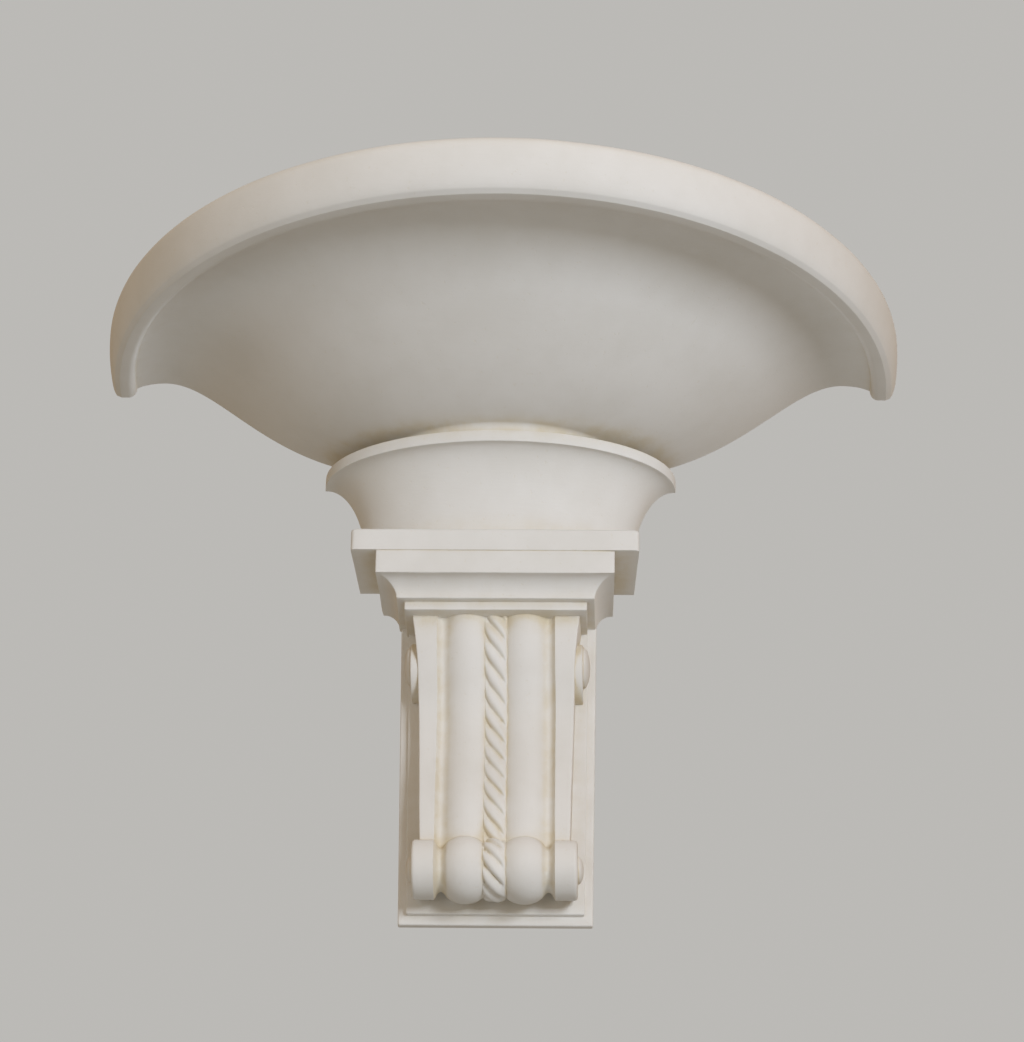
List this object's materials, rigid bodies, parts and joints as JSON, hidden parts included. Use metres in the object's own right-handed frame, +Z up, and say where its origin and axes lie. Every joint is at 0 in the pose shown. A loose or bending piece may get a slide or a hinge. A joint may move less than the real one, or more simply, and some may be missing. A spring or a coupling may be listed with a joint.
{
  "type": "plaster wall bracket with half-round bowl",
  "caption": "Cast plaster wall bracket: a half-round bowl with a rolled rim on a hollow-moulded collar, a slab and a scrolled corbel with ribs and a twisted rope",
  "frame": {"origin": "Middle of the corbel's back plate, on the flat wall face. All back faces lie in this plane", "axes": "+Z up, +Y into the wall, -Y out into the room, X along the wall, the bowl's long way"},
  "size_m": [0.6096, 0.3048, 0.4915],
  "materials": {
    "corbel_plaster": "matte cast plaster, warm off-white, cream in the hollows",
    "slab_plaster": "matte cast plaster, warm off-white, edges a little softened",
    "collar_plaster": "matte cast plaster, warm off-white",
    "half_bowl_plaster": "matte cast plaster, warm off-white, faint brush marks along the mouldings"
  },
  "bodies": {
    "root": {"corbel": "corbel_plaster", "slab": "slab_plaster", "collar": "collar_plaster", "half_bowl": "half_bowl_plaster"}
  },
  "joints": []
}
